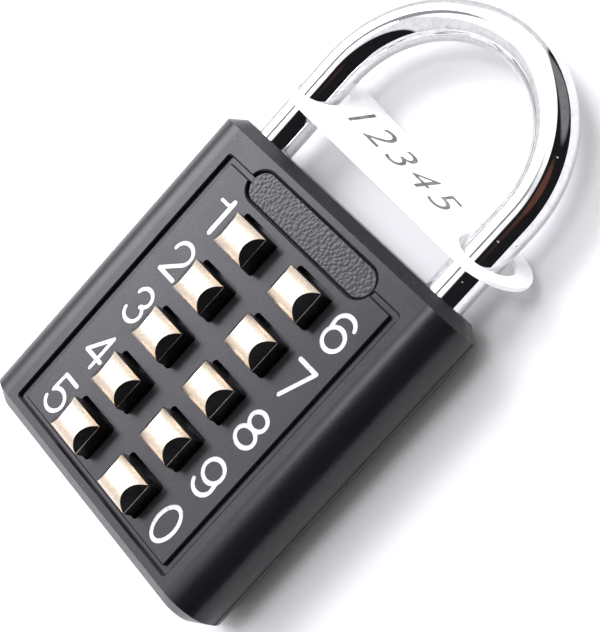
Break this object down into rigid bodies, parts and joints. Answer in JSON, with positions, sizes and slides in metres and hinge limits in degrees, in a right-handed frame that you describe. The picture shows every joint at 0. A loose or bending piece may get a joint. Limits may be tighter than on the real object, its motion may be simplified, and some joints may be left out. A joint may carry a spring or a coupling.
{
  "type": "combination padlock",
  "caption": "Push-button combination padlock with a black cast body, bright-topped number keys, a chromed round shackle and a white code tag.",
  "frame": {"origin": "middle of the body's back face", "axes": "+X to the right seen from the front, +Y towards the shackle, +Z out of the front face; the lock lies on its back"},
  "size_m": [0.0476, 0.0841, 0.0162],
  "materials": {
    "black_lacquer": "satin black powder coat",
    "key_lacquer": "black lacquer, crown ground bright",
    "steel": "plain sheet steel",
    "spring_steel": "spring wire",
    "chrome_plate": "polished chrome with small pits",
    "white_plastic": "smooth white sheet"
  },
  "bodies": {
    "housing": {"body_shell": "black_lacquer", "back_cover": "black_lacquer", "cover_rivets": "black_lacquer", "guide_plate": "steel", "guide_screws": "steel", "shackle_spring": "spring_steel", "key_spring_1": "spring_steel", "key_spring_2": "spring_steel", "key_spring_3": "spring_steel", "key_spring_4": "spring_steel", "key_spring_5": "spring_steel", "key_spring_6": "spring_steel", "key_spring_7": "spring_steel", "key_spring_8": "spring_steel", "key_spring_9": "spring_steel", "key_spring_0": "spring_steel"},
    "shackle_unit": {"shackle": "chrome_plate", "code_plate": "steel"},
    "tag": {"code_tag": "white_plastic"},
    "key_1_body": {"key_1": "key_lacquer"},
    "key_2_body": {"key_2": "key_lacquer"},
    "key_3_body": {"key_3": "key_lacquer"},
    "key_4_body": {"key_4": "key_lacquer"},
    "key_5_body": {"key_5": "key_lacquer"},
    "key_6_body": {"key_6": "key_lacquer"},
    "key_7_body": {"key_7": "key_lacquer"},
    "key_8_body": {"key_8": "key_lacquer"},
    "key_9_body": {"key_9": "key_lacquer"},
    "key_0_body": {"key_0": "key_lacquer"}
  },
  "joints": [
    {"name": "shackle_lift", "type": "slide", "parent": "housing", "child": "shackle_unit", "axis": [0, 1, 0], "range_m": [0, 0.0065], "deforming": ["shackle_spring"]},
    {"name": "tag_slide", "type": "slide", "parent": "housing", "child": "tag", "axis": [0, 1, 0], "range_m": [-0.003, 0.005]},
    {"name": "key_1_press", "type": "slide", "parent": "housing", "child": "key_1_body", "axis": [0, 0, -1], "range_m": [0, 0.0013], "stiffness_N_per_m": 400, "springref_m": -0.001, "deforming": ["key_spring_1"]},
    {"name": "key_2_press", "type": "slide", "parent": "housing", "child": "key_2_body", "axis": [0, 0, -1], "range_m": [0, 0.0013], "stiffness_N_per_m": 400, "springref_m": -0.001, "deforming": ["key_spring_2"]},
    {"name": "key_3_press", "type": "slide", "parent": "housing", "child": "key_3_body", "axis": [0, 0, -1], "range_m": [0, 0.0013], "stiffness_N_per_m": 400, "springref_m": -0.001, "deforming": ["key_spring_3"]},
    {"name": "key_4_press", "type": "slide", "parent": "housing", "child": "key_4_body", "axis": [0, 0, -1], "range_m": [0, 0.0013], "stiffness_N_per_m": 400, "springref_m": -0.001, "deforming": ["key_spring_4"]},
    {"name": "key_5_press", "type": "slide", "parent": "housing", "child": "key_5_body", "axis": [0, 0, -1], "range_m": [0, 0.0013], "stiffness_N_per_m": 400, "springref_m": -0.001, "deforming": ["key_spring_5"]},
    {"name": "key_6_press", "type": "slide", "parent": "housing", "child": "key_6_body", "axis": [0, 0, -1], "range_m": [0, 0.0013], "stiffness_N_per_m": 400, "springref_m": -0.001, "deforming": ["key_spring_6"]},
    {"name": "key_7_press", "type": "slide", "parent": "housing", "child": "key_7_body", "axis": [0, 0, -1], "range_m": [0, 0.0013], "stiffness_N_per_m": 400, "springref_m": -0.001, "deforming": ["key_spring_7"]},
    {"name": "key_8_press", "type": "slide", "parent": "housing", "child": "key_8_body", "axis": [0, 0, -1], "range_m": [0, 0.0013], "stiffness_N_per_m": 400, "springref_m": -0.001, "deforming": ["key_spring_8"]},
    {"name": "key_9_press", "type": "slide", "parent": "housing", "child": "key_9_body", "axis": [0, 0, -1], "range_m": [0, 0.0013], "stiffness_N_per_m": 400, "springref_m": -0.001, "deforming": ["key_spring_9"]},
    {"name": "key_0_press", "type": "slide", "parent": "housing", "child": "key_0_body", "axis": [0, 0, -1], "range_m": [0, 0.0013], "stiffness_N_per_m": 400, "springref_m": -0.001, "deforming": ["key_spring_0"]}
  ]
}
